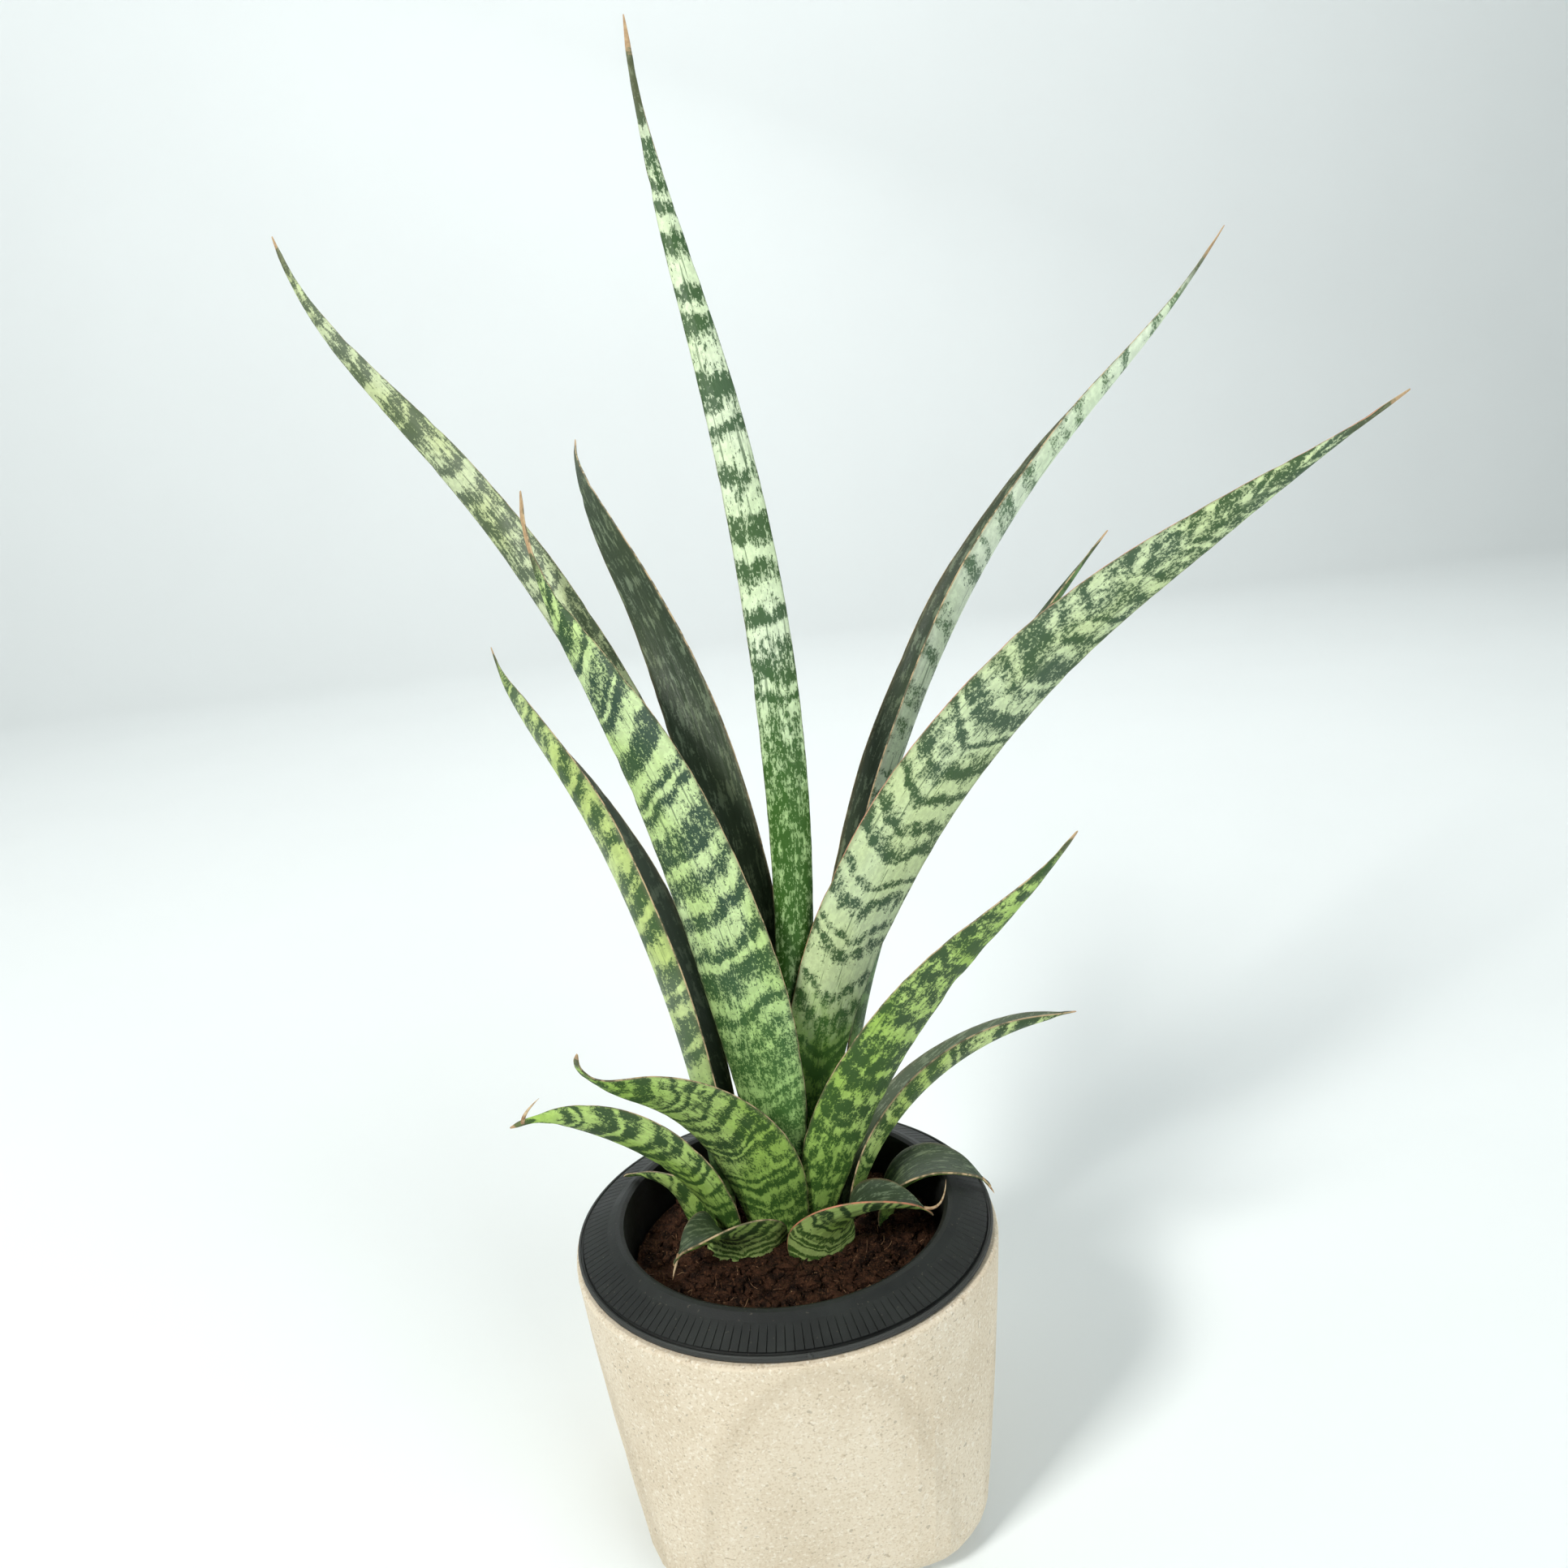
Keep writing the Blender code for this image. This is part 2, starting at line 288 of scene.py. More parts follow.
# how fine each layer of a leaf's pattern is, across and along the blade
leafScale = {
    "drift": (85, 50, 1), "patch": (380, 190, 1), "streak": (1000, 110, 1), "crack": (900, 38, 1),
    "tone": (55, 25, 1), "mottle": (700, 420, 1), "worn": (500, 500, 1), "margin": (260, 260, 1),
    "veins": (520, 14, 1), "cells": (1500, 700, 1), "swell": (110, 60, 1),
}
leafBump = {"cells": 0.0003, "veins": 0.0006, "swell": 0.0012, "margin": 0.0004}


def bandedSkin(name, look):
    # bands run across the blade; the map holds metres across and metres along
    g = Graph(name)
    blade = g.coords("blade")
    y = g.split(blade)[1]
    share, edge, side = g.attribute("share"), g.attribute("edge"), g.attribute("side")
    seed, length = look["seed"], look["length"]

    # the bands sag toward the midrib, drift a little and crowd together near the soil
    drift = g.noise(g.scaled(blade, leafScale["drift"], (seed, 2 * seed, 0)), 2.0, 0.5, "2D")
    drift = g.math("MULTIPLY", g.math("SUBTRACT", drift, 0.5), look["waver"])
    sag = g.math("MULTIPLY", g.math("POWER", edge, look["sagCurve"]), look["sag"])
    sag = g.math("ADD", sag, g.math("MULTIPLY", side, look["slant"]))
    along = g.math("ADD", g.math("SUBTRACT", y, sag), drift)
    part = g.math("MAXIMUM", g.math("DIVIDE", along, length), 0.0)
    step = g.math("MULTIPLY", g.math("POWER", part, look["crowd"]), look["count"])
    wander = g.noise(g.math("ADD", step, 3 * seed), 1.0, 0.5, "1D", scale=0.7)
    phase = g.math("ADD", step, g.math("MULTIPLY", wander, look["irregular"]))
    beat = g.math("MULTIPLY", g.math("SINE", g.math("MULTIPLY", phase, 2 * math.pi)), look["beat"])
    broad = g.noise(g.math("ADD", step, seed), 1.5, 0.6, "1D", scale=0.9)
    broad = g.math("MULTIPLY", g.math("SUBTRACT", broad, 0.5), look["uneven"])
    bands = g.math("MULTIPLY", g.math("ADD", beat, broad), g.curve(share, look["swing"]))

    grain = g.noise(g.scaled(blade, look["grainScale"], (seed, 0, 0)), 2.0, 0.7, "2D")
    patch = g.noise(g.scaled(blade, leafScale["patch"], (0, seed, 0)), 3.0, 0.6, "2D")
    streak = g.noise(g.scaled(blade, leafScale["streak"], (seed, seed, 0)), 2.0, 0.6, "2D")
    grain = g.math("MULTIPLY", g.math("SUBTRACT", grain, 0.5), look["grain"])
    patch = g.math("MULTIPLY", g.math("SUBTRACT", patch, 0.5), look["patch"])
    streak = g.math("MULTIPLY", g.math("SUBTRACT", streak, 0.5), look["streak"])
    level = g.math("ADD", bands, g.math("ADD", patch, streak))
    level = g.math("ADD", level, g.math("SUBTRACT", g.curve(share, look["bias"]), 0.5))
    level = g.math("ADD", level, g.math("MULTIPLY", g.math("POWER", edge, 3.0), look["edgeBias"]))
    total = g.math("ADD", level, grain)
    pale = g.ramp(total, -0.06, 0.06)

    # a few thin dark veins break the pale bands lengthwise, away from the margins
    crack = g.noise(g.scaled(blade, leafScale["crack"], (0, seed, 0)), 2.0, 0.55, "2D")
    crack = g.ramp(crack, 0.655, 0.69, 0.0, look["cracks"])
    crack = g.math("MULTIPLY", crack, g.ramp(edge, 0.65, 0.9, 1.0, 0.0))

    tone = g.noise(g.scaled(blade, leafScale["tone"], (seed, seed, 0)), 2.0, 0.5, "2D")
    tone = g.ramp(tone, 0.35, 0.65)
    mottle = g.noise(g.scaled(blade, leafScale["mottle"], (seed, 3, 0)), 3.0, 0.6, "2D")
    paleTint = g.mix(tone, srgb(*look["pale"]), srgb(*look["paleWarm"]))
    darkTint = g.mix(tone, srgb(*look["dark"]), srgb(*look["darkGreen"]))
    # the foot of the blade is greener than the rest
    low = g.math("ADD", share, g.math("MULTIPLY", patch, 0.05))
    low = g.ramp(low, look["baseFrom"], look["baseTo"], 1.0, 0.0)
    paleTint = g.mix(low, paleTint, srgb(*look["basePale"]))
    darkTint = g.mix(low, darkTint, srgb(*look["baseDark"]))
    # a pale band is clean in its middle and greener where it thins out
    depth = g.ramp(level, -0.25, 0.30)
    thin = g.math("MULTIPLY", g.ramp(level, 0.0, 0.25, 1.0, 0.0), 0.40)
    paleTint = g.mix(thin, paleTint, darkTint)
    paleTint = g.mix(g.ramp(mottle, 0.40, 0.62, 0.16, 0.0), paleTint, darkTint)
    darkTint = g.mix(g.math("MULTIPLY", depth, 0.22), darkTint, paleTint)
    color = g.mix(pale, darkTint, paleTint)
    color = g.mix(crack, color, darkTint)
    # the margin darkens to a line, and the point dries to tan
    rimLine = g.ramp(edge, 0.86, 0.97, 0.0, look["rimLine"])
    color = g.mix(rimLine, color, srgb(*look["rimTint"]))
    worn = g.noise(g.scaled(blade, leafScale["worn"]), 2.0, 0.6, "2D")
    dryAt = g.math("ADD", share, g.math("MULTIPLY", g.math("SUBTRACT", worn, 0.5), 0.02))
    neck = g.ramp(dryAt, look["neckAt"] - look["neckFade"], look["neckAt"], 0.0, 0.85)
    color = g.mix(neck, color, srgb(*look["neckTint"]))
    dry = g.ramp(dryAt, look["dryAt"], look["dryAt"] + 0.008)
    dryTint = g.mix(worn, srgb(*look["dryTint"]), srgb(*look["dryDark"]))
    color = g.mix(dry, color, dryTint)

    veins = g.noise(g.scaled(blade, leafScale["veins"]), 2.0, 0.5, "2D")
    cells = g.noise(g.scaled(blade, leafScale["cells"]), 3.0, 0.6, "2D")
    swell = g.noise(g.scaled(blade, leafScale["swell"]), 2.0, 0.5, "2D")
    normal = g.bump(cells, look["bump"], leafBump["cells"])
    normal = g.bump(veins, 0.35, leafBump["veins"], normal)
    normal = g.bump(swell, 0.3, leafBump["swell"], normal)
    rough = g.ramp(cells, 0.3, 0.7, look["rough"] - 0.05, look["rough"] + 0.09)
    g.shader.inputs["Specular IOR Level"].default_value = look["shine"]
    return g.finish(color, rough, normal)


# swing and bias run from the soil to the point: how strong the bands are, and how much is pale
outerLook = {
    "waver": 0.008, "sag": 0.004, "sagCurve": 1.5, "slant": 0.0,
    "crowd": 0.85, "irregular": 1.6, "beat": 0.26, "uneven": 0.55,
    "swing": [(0.0, 1.0), (1.0, 1.0)], "bias": [(0.0, 0.5), (1.0, 0.5)], "edgeBias": 0.0,
    "grain": 1.6, "patch": 0.9, "streak": 0.35, "grainScale": (1500, 950, 1), "cracks": 0.8,
    "pale": (203, 229, 172), "paleWarm": (198, 222, 142), "dark": (62, 88, 70), "darkGreen": (64, 92, 50),
    "baseFrom": 0.10, "baseTo": 0.36, "basePale": (142, 180, 98), "baseDark": (64, 100, 42),
    "rimLine": 0.35, "rimTint": (92, 96, 66), "neckFade": 0.05, "neckTint": (84, 88, 62),
    "dryTint": (208, 180, 140), "dryDark": (150, 118, 84), "bump": 0.3, "rough": 0.5, "shine": 0.35,
}
# the inside face is darker and duller than the outside: partly its own colour, partly painted shade from the
# leaves around it
innerLook = dict(
    outerLook, grain=0.9, patch=0.7, streak=1.6, bias=[(0.0, 0.32), (1.0, 0.36)],
    cracks=0.0, beat=0.10, uneven=0.4,
    pale=(112, 128, 104), paleWarm=(108, 122, 92), dark=(54, 68, 50), darkGreen=(58, 72, 50),
    basePale=(96, 116, 76), baseDark=(46, 62, 36), rimLine=0.25, rimTint=(120, 100, 72), rough=0.46)


def marginSkin(name, tint, tintTwo):
    g = Graph(name)
    blade = g.coords("blade")
    share = g.attribute("share")
    worn = g.noise(g.scaled(blade, leafScale["margin"]), 3.0, 0.6, "2D")
    color = g.mix(g.ramp(worn, 0.42, 0.6), srgb(*tint), srgb(*tintTwo))
    dry = g.ramp(share, 0.965, 0.98)
    color = g.mix(dry, color, srgb(196, 166, 126))
    return g.finish(color, 0.55, g.bump(worn, 0.4, leafBump["margin"]))


def curveThrough(points, at):
    # smooth curve through rows of points, at fractional row numbers
    last = len(points) - 1
    i = np.clip(np.floor(at).astype(int), 0, last - 1)
    t = (at - i).reshape(-1, *([1] * (points.ndim - 1)))
    a, b, c, d = (points[np.clip(i + k, 0, last)] for k in (-1, 0, 1, 2))
    a = np.where((i == 0).reshape(t.shape), 2 * b - c, a)
    d = np.where((i == last - 1).reshape(t.shape), 2 * c - b, d)
    bend, twist = 2 * a - 5 * b + 4 * c - d, 3 * b - a - 3 * c + d
    return 0.5 * (2 * b + (c - a) * t + bend * t ** 2 + twist * t ** 3)


def sectionsOf(node):
    # the CAD leaf's cross sections from the soil to the point, each as two matching rows of points
    bm = bmesh.new()
    bm.from_mesh(node.data)
    bmesh.ops.remove_doubles(bm, verts=bm.verts, dist=1e-6)
    bm.verts.ensure_lookup_table()
    low = min(v.co.z for v in bm.verts)
    ring = [v for v in bm.verts if v.co.z < low + 1e-5]
    seen = set(ring)
    rings = [ring]
    while True:
        step = []
        for v in rings[-1]:
            for e in v.link_edges:
                o = e.other_vert(v)
                if o not in seen:
                    seen.add(o)
                    step.append(o)
        if not step:
            break
        rings.append(step)
    count = len(rings[0])
    rings = [r for r in rings if len(r) == count]

    def chain(verts):
        inside = set(verts)
        order = [verts[0]]
        while len(order) < count:
            options = [e.other_vert(order[-1]) for e in order[-1].link_edges]
            options = [o for o in options if o in inside and o not in order]
            if not options:
                return None
            order.append(options[0])
        return np.array([v.co[:] for v in order])

    middle = len(rings) // 2
    loops = [None] * len(rings)
    for k in range(1, len(rings) - 1):
        loops[k] = chain(rings[k])

    def match(points, guide):
        p, q = points - points.mean(0), guide - guide.mean(0)
        p, q = p / np.abs(p).max(), q / np.abs(q).max()
        best = None
        for side in (1, -1):
            for turn in range(count):
                order = np.roll(np.arange(count)[::side], turn)
                miss = ((p[order] - q) ** 2).sum()
                if best is None or miss < best[0]:
                    best = (miss, order)
        return points[best[1]]

    def nearest(points, guide):
        p, q = points - points.mean(0), guide - guide.mean(0)
        p, q = p / np.abs(p).max(), q / np.abs(q).max()
        free, order = list(range(count)), []
        for target in q:
            k = min(free, key=lambda n: ((p[n] - target) ** 2).sum())
            free.remove(k)
            order.append(k)
        return points[order]

    # start the middle loop at a margin, outer row first
    loop, half = loops[middle], count // 2
    gaps = np.linalg.norm(np.roll(loop, -1, 0) - loop, axis=1)
    start = min(range(half), key=lambda n: gaps[n - 1] + gaps[n - 1 + half])
    loop = np.roll(loop, -start, 0)
    chord = (loop[0] + loop[half - 1] + loop[half] + loop[-1]) / 4
    firstOut = np.linalg.norm(loop[half // 2] - chord) > np.linalg.norm(loop[half + half // 2] - chord)
    if not firstOut:
        loop = np.roll(loop, half, 0)
    loops[middle] = loop
    for k in range(middle + 1, len(rings) - 1):
        loops[k] = match(loops[k], loops[k - 1])
    for k in range(middle - 1, 0, -1):
        loops[k] = match(loops[k], loops[k + 1])
    loops[0] = nearest(np.array([v.co[:] for v in rings[0]]), loops[1])
    loops[-1] = nearest(np.array([v.co[:] for v in rings[-1]]), loops[-2])
    bm.free()
    loops = np.array(loops)
    outer, inner = loops[:, :half], loops[:, half:][:, ::-1]
    along = loops[middle + 1].mean(0) - loops[middle - 1].mean(0)
    out = (outer[middle] - inner[middle]).mean(0)
    right = np.cross(along, out)
    if np.dot(outer[middle, -1] - outer[middle, 0], right) < 0:
        outer, inner = outer[:, ::-1], inner[:, ::-1]
    return outer, inner


# how every blade's margins and point leave the smooth section
bladeShape = {"pointWidth": 0.22, "steps": 400, "footCalm": 0.012,
              "ripple": 0.00020, "rippleRate": 260.0, "nick": 0.0016, "nickRate": 120.0, "nickLevel": 0.32,
              "pointThick": 0.55, "thinnest": 0.05}


def buildBlade(name, spec):
    node = cadNodes["leaf_" + name]
    outer, inner = sectionsOf(node)
    spine, thick = (outer + inner) / 2, np.linalg.norm(outer - inner, axis=2)
    rows, columns = spec["rows"], spec["columns"]
    dropSelection()
    bpy.ops.mesh.primitive_grid_add(x_subdivisions=columns, y_subdivisions=rows, size=1.0)
    blade = bpy.context.object
    blade.name = name + "_blade"
    mesh = blade.data
    flat = np.array([v.co[:] for v in mesh.vertices])
    u, v = flat[:, 0] + 0.5, flat[:, 1] + 0.5

    # the point narrows past the CAD spike
    taper = np.interp(v, [0.0, 1.0 - spec["point"], 1.0], [1.0, 1.0, bladeShape["pointWidth"]])
    uu = 0.5 + (u - 0.5) * taper
    atRow = v * (len(spine) - 1)
    wide = curveThrough(spine, atRow)
    place = np.zeros((len(u), 3))
    atColumn = uu * (spine.shape[1] - 1)
    for k in range(len(u)):
        place[k] = curveThrough(wide[k], atColumn[k:k + 1])[0]
    normals = curveThrough(outer - inner, atRow).mean(1)
    normals /= np.linalg.norm(normals, axis=1)[:, None]
    steps = bladeShape["steps"]
    middle = curveThrough(spine, np.linspace(0, len(spine) - 1, steps)).mean(1)
    run = np.concatenate([[0.0], np.cumsum(np.linalg.norm(np.diff(middle, axis=0), axis=1))])
    length = run[-1]
    metres = np.interp(v, np.linspace(0, 1, steps), run)
    reach = np.linalg.norm(place - curveThrough(spine, atRow).mean(1), axis=1)
    edge = np.abs(uu - 0.5) * 2

    # margins wander a little in and out and up and down
    random.seed(spec["seed"])
    shift = random.uniform(0, 50)
    for k in range(len(u)):
        side = 1.0 if uu[k] > 0.5 else -1.0
        wave = noise.noise(Vector((metres[k] * spec["waveRate"], side * 7.0, shift)))
        ripple = noise.noise(Vector((metres[k] * bladeShape["rippleRate"], side * 3.0, shift)))
        nick = noise.noise(Vector((metres[k] * bladeShape["nickRate"], side * 5.0, shift + 9.0)))
        nick = min(0.0, nick + bladeShape["nickLevel"])
        keep = max(0.0, min(1.0, metres[k] / bladeShape["footCalm"])) * edge[k] ** 3 * taper[k]
        across = place[k] - curveThrough(spine, atRow[k:k + 1]).mean(1)[0]
        size = np.linalg.norm(across)
        if size > 1e-6:
            push = bladeShape["ripple"] * ripple + bladeShape["nick"] * nick
            place[k] += across / size * push * keep
        place[k] += normals[k] * wave * spec["wave"] * keep
    mesh.vertices.foreach_set("co", place.ravel())

    mesh.uv_layers[0].name = "blade"
    corners = np.array([l.vertex_index for l in mesh.loops])
    signed = reach * np.sign(uu - 0.5)
    uv = np.stack([signed[corners], metres[corners]], 1)
    mesh.uv_layers["blade"].data.foreach_set("uv", uv.ravel())
    side = (u - 0.5) * 2
    for label, values in (("share", metres / length), ("edge", np.abs(u - 0.5) * 2), ("side", side)):
        data = mesh.attributes.new(label, "FLOAT", "POINT")
        data.data.foreach_set("value", values.astype(np.float32))

    # thickness follows the CAD section
    body = np.zeros(len(u))
    slim = curveThrough(thick, atRow)
    for k in range(len(u)):
        body[k] = np.interp(uu[k], np.linspace(0, 1, slim.shape[1]), slim[k])
    full = body.max()
    group = blade.vertex_groups.new(name="body")
    slimEnd = bladeShape["pointThick"]
    for k in range(len(u)):
        weight = body[k] / full * (slimEnd + (1.0 - slimEnd) * taper[k])
        group.add([k], float(np.clip(weight, bladeShape["thinnest"], 1.0)), "REPLACE")
    solid = blade.modifiers.new("skin", "SOLIDIFY")
    solid.thickness = float(full)
    solid.offset = 0.0
    solid.vertex_group = "body"
    solid.thickness_vertex_group = 0.0
    solid.material_offset = 1
    solid.material_offset_rim = 2
    rounded = blade.modifiers.new("round", "SUBSURF")
    rounded.levels = 1
    rounded.render_levels = 1

    seed = spec["seed"]
    own = {"length": length, "count": length * spec["perMetre"],
           "neckAt": spec["neckAt"], "dryAt": spec["dryAt"]}
    outside = {**outerLook, **own, "seed": seed, **spec["outside"]}
    inside = {**innerLook, **own, "seed": seed + 5, **spec["inside"]}
    mesh.materials.append(bandedSkin(name + "_outside", outside))
    mesh.materials.append(bandedSkin(name + "_inside", inside))
    mesh.materials.append(marginSkin(name + "_margin", *spec["margin"]))
    applyAll(blade)
    pick(blade)
    bpy.ops.object.shade_smooth()
    for label in list(blade.vertex_groups):
        blade.vertex_groups.remove(label)
    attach(blade, "root")
    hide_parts("leaf_" + name)


# perMetre counts the bands; neckAt and dryAt are shares of the length
plainLeaf = {"rows": 150, "columns": 14, "point": 0.03, "wave": 0.0010, "waveRate": 22.0,
             "perMetre": 95.0, "neckAt": 0.97, "dryAt": 0.978,
             "margin": ((196, 172, 132), (104, 98, 70)), "outside": {}, "inside": {}}
fresh = {"pale": (182, 212, 122), "paleWarm": (164, 200, 94), "dark": (56, 82, 46), "darkGreen": (60, 92, 38),
         "basePale": (152, 190, 94), "baseDark": (60, 96, 38), "patch": 1.2}
leaves = {
    "tall_centre": dict(
        plainLeaf, seed=3, perMetre=78.0, neckAt=0.93, dryAt=0.962,
        outside={"pale": (222, 238, 204), "paleWarm": (216, 236, 192), "dark": (66, 94, 62),
                 "darkGreen": (60, 92, 48), "sag": 0.0012, "waver": 0.006, "baseFrom": 0.34, "baseTo": 0.50,
                 "basePale": (172, 206, 138), "baseDark": (52, 94, 24), "beat": 0.26, "uneven": 0.75,
                 "patch": 1.2, "grain": 1.9, "streak": 0.7, "grainScale": (1500, 560, 1),
                 "swing": [(0, 0), (0.40, 0.02), (0.46, 1), (1, 1)], "edgeBias": 0.10,
                 "bias": [(0, 0.28), (0.2, 0.33), (0.40, 0.42), (0.46, 0.56), (0.65, 0.53), (0.8, 0.47),
                          (1, 0.40)]}),
    "long_left": dict(
        plainLeaf, seed=7, perMetre=72.0,
        outside={"pale": (200, 214, 172), "paleWarm": (194, 208, 154), "dark": (92, 106, 84),
                 "darkGreen": (84, 100, 70), "uneven": 0.7, "streak": 1.3, "patch": 1.2,
                 "bias": [(0, 0.46), (0.6, 0.50), (1, 0.44)]}),
    "broad_front_left": dict(
        plainLeaf, seed=11, columns=18, perMetre=96.0, neckAt=0.90, dryAt=0.90,
        outside={"pale": (200, 224, 164), "paleWarm": (190, 218, 142), "sag": 0.0030, "slant": 0.0040,
                 "grain": 1.9, "patch": 1.1, "dark": (48, 74, 56), "darkGreen": (50, 80, 42),
                 "swing": [(0, 0.35), (0.22, 0.55), (0.40, 1.0), (1, 1.0)],
                 "baseFrom": 0.14, "baseTo": 0.44, "basePale": (164, 204, 122), "baseDark": (66, 106, 48),
                 "bias": [(0, 0.44), (0.25, 0.50), (0.5, 0.54), (0.8, 0.47), (1, 0.42)]}),
    "dark_back": dict(plainLeaf, seed=13, perMetre=80.0),
    "left_mid": dict(plainLeaf, seed=17, perMetre=100.0,
                     # painted sheen: the inside face is tinted a paler grey for the gloss it shows
                     inside={"pale": (126, 142, 120), "paleWarm": (118, 134, 112), "dark": (84, 100, 84),
                             "darkGreen": (80, 96, 76)},
                     outside={"dark": (92, 112, 84), "pale": (206, 226, 158), "paleWarm": (190, 212, 128),
                              "patch": 1.2}),
    "tall_right": dict(
        plainLeaf, seed=19, perMetre=80.0, neckAt=0.95, dryAt=0.955,
        outside={"pale": (238, 252, 224), "paleWarm": (232, 250, 214), "bias": [(0, 0.74), (1, 0.72)],
                 "dark": (96, 124, 94), "darkGreen": (96, 126, 84), "baseFrom": 0.02, "baseTo": 0.10}),
    "broad_front_right": dict(
        plainLeaf, seed=23, columns=18, perMetre=100.0, margin=((206, 150, 120), (150, 128, 92)),
        outside={"pale": (206, 224, 178), "paleWarm": (204, 222, 166), "sag": 0.0085, "sagCurve": 1.0,
                 "baseFrom": 0.17, "baseTo": 0.27, "crowd": 0.9, "patch": 1.3, "waver": 0.008, "streak": 0.25,
                 "basePale": (146, 190, 88), "baseDark": (70, 116, 38),
                 "swing": [(0, 0.2), (0.12, 0.7), (0.45, 1.0), (0.7, 0.65), (1, 0.7)],
                 "dark": (66, 90, 66), "darkGreen": (62, 90, 50),
                 "bias": [(0, 0.36), (0.16, 0.42), (0.24, 0.66), (0.38, 0.64), (0.55, 0.53), (0.85, 0.47),
                          (1, 0.38)]}),
    # painted shadow: this leaf stands behind broad_front_right, so its outside colours are darkened
    "hidden_right": dict(plainLeaf, seed=29, perMetre=80.0,
                         outside={"pale": (120, 150, 100), "paleWarm": (110, 146, 88), "dark": (56, 82, 58)}),
    "short_right": dict(
        plainLeaf, seed=31, rows=110, perMetre=85.0,
        outside=dict(fresh, bias=[(0, 0.46), (0.4, 0.48), (0.7, 0.44), (1, 0.40)],
                     sag=0.002, patch=1.9, beat=0.2, waver=0.012)),
    "low_right": dict(plainLeaf, seed=37, rows=90, wave=0.0016, perMetre=130.0,
                      outside=dict(fresh, pale=(206, 228, 150), paleWarm=(190, 218, 118)),
                      # painted sheen: the inside face is tinted a paler grey for its sheen
                      inside={"pale": (138, 150, 128), "paleWarm": (128, 142, 116), "dark": (92, 104, 86),
                              "darkGreen": (88, 102, 80)}),
    "low_left": dict(plainLeaf, seed=41, rows=90, perMetre=150.0,
                     outside=dict(fresh, waver=0.010, grain=1.9)),
    "drooping_left": dict(plainLeaf, seed=43, rows=80, perMetre=150.0, outside=dict(fresh, grain=1.3)),
    "small_front_left": dict(plainLeaf, seed=47, rows=60, perMetre=330.0,
                             outside=dict(fresh, sag=0.002, waver=0.010, beat=0.36, basePale=(196, 222, 134),
                                          baseDark=(84, 118, 50), bias=[(0, 0.55), (1, 0.5)])),
    "small_front_right": dict(plainLeaf, seed=53, rows=70, perMetre=290.0,
                              margin=((198, 128, 96), (150, 120, 84)),
                              outside=dict(fresh, sag=0.002, waver=0.010, beat=0.34, basePale=(190, 218, 130),
                                           baseDark=(76, 110, 46), bias=[(0, 0.55), (1, 0.5)])),
    "rim_right": dict(plainLeaf, seed=59, rows=60, perMetre=150.0, outside=dict(fresh)),
    "small_left": dict(plainLeaf, seed=61, rows=50, perMetre=160.0, outside=dict(fresh)),
}
for leafName, leafSpec in leaves.items():
    buildBlade(leafName, leafSpec)
    print("leaf", leafName)


def drySkin():
    g = Graph("dryPoint")
    at = g.coords()
    worn = g.noise(g.scaled(at, (600, 600, 600)), 3.0, 0.6)
    color = g.mix(g.ramp(worn, 0.35, 0.65), srgb(146, 112, 78), srgb(214, 190, 152))
    return g.finish(color, 0.7, g.bump(worn, 0.5, 0.0004))


def tipOf(name):
    # the far end of a blade and the way it points
    piece = bpy.data.objects[name + "_blade"]
    share = np.zeros(len(piece.data.vertices), dtype=np.float32)
    piece.data.attributes["share"].data.foreach_get("value", share)
    places = np.array([v.co[:] for v in piece.data.vertices])
    end, before = places[share > 0.995].mean(0), places[(share > 0.93) & (share < 0.95)].mean(0)
    return Vector(end), (Vector(end) - Vector(before)).normalized()


drySkin()
# for each wisp: where it bends and where it ends, from the leaf's point, and how thick it starts
driedSpikes = {
    "drooping_left": [((0.004, 0.000, 0.004), (0.010, -0.002, 0.0095), 0.0011)],
    "small_front_right": [((0.0035, -0.001, 0.001), (0.0045, -0.001, 0.0125), 0.0009)],
    "small_front_left": [((-0.0004, -0.001, -0.002), (-0.0008, -0.002, -0.0035), 0.0008)],
    "rim_right": [((0.0005, -0.0005, -0.001), (0.0008, -0.0008, -0.0022), 0.0008)],
}


def buildSpikes():
    # a dried wisp leaves the blade's point, bends once and ends sharp
    for name, wisps in driedSpikes.items():
        end, ahead = tipOf(name)
        for bendTo, stopAt, thick in wisps:
            curve = bpy.data.curves.new(name + "_spike", "CURVE")
            curve.dimensions = "3D"
            curve.bevel_depth = thick / 2
            curve.bevel_resolution = 2
            curve.use_fill_caps = True
            spline = curve.splines.new("POLY")
            spline.points.add(8)
            start = end - ahead * 0.004
            middle, stop = end + Vector(bendTo), end + Vector(stopAt)
            for n in range(9):
                t = n / 8
                here = start * (1 - t) ** 2 + middle * 2 * t * (1 - t) + stop * t ** 2
                spline.points[n].co = (*here, 1.0)
                spline.points[n].radius = 1.25 * (1 - t) ** 0.8 + 0.08
            spike = bpy.data.objects.new(name + "_spike", curve)
            bpy.context.collection.objects.link(spike)
            pick(spike)
            bpy.ops.object.convert(target="MESH")
            spike = bpy.context.object
            weld(spike)
            bpy.ops.object.shade_smooth()
            spike.data.materials.append(bpy.data.materials["dryPoint"])
            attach(spike, "root")


buildSpikes()
print("dried points made")


# flare and foot give the round body, and the flat panels dip below it under an arch
castSpec = {"flare": 0.0403, "foot": 0.0632, "height": 0.0967,
            "close": 0.0012, "arch": 0.0004, "archSoft": 0.0003,
            "cream": (222, 208, 184), "creamPale": (232, 220, 198), "sand": (198, 178, 148),
            "chalk": (246, 239, 224), "speck": (166, 148, 122), "stone": (140, 130, 112),
            "panelShade": (186, 172, 148), "panelEdgeShade": (176, 160, 134)}


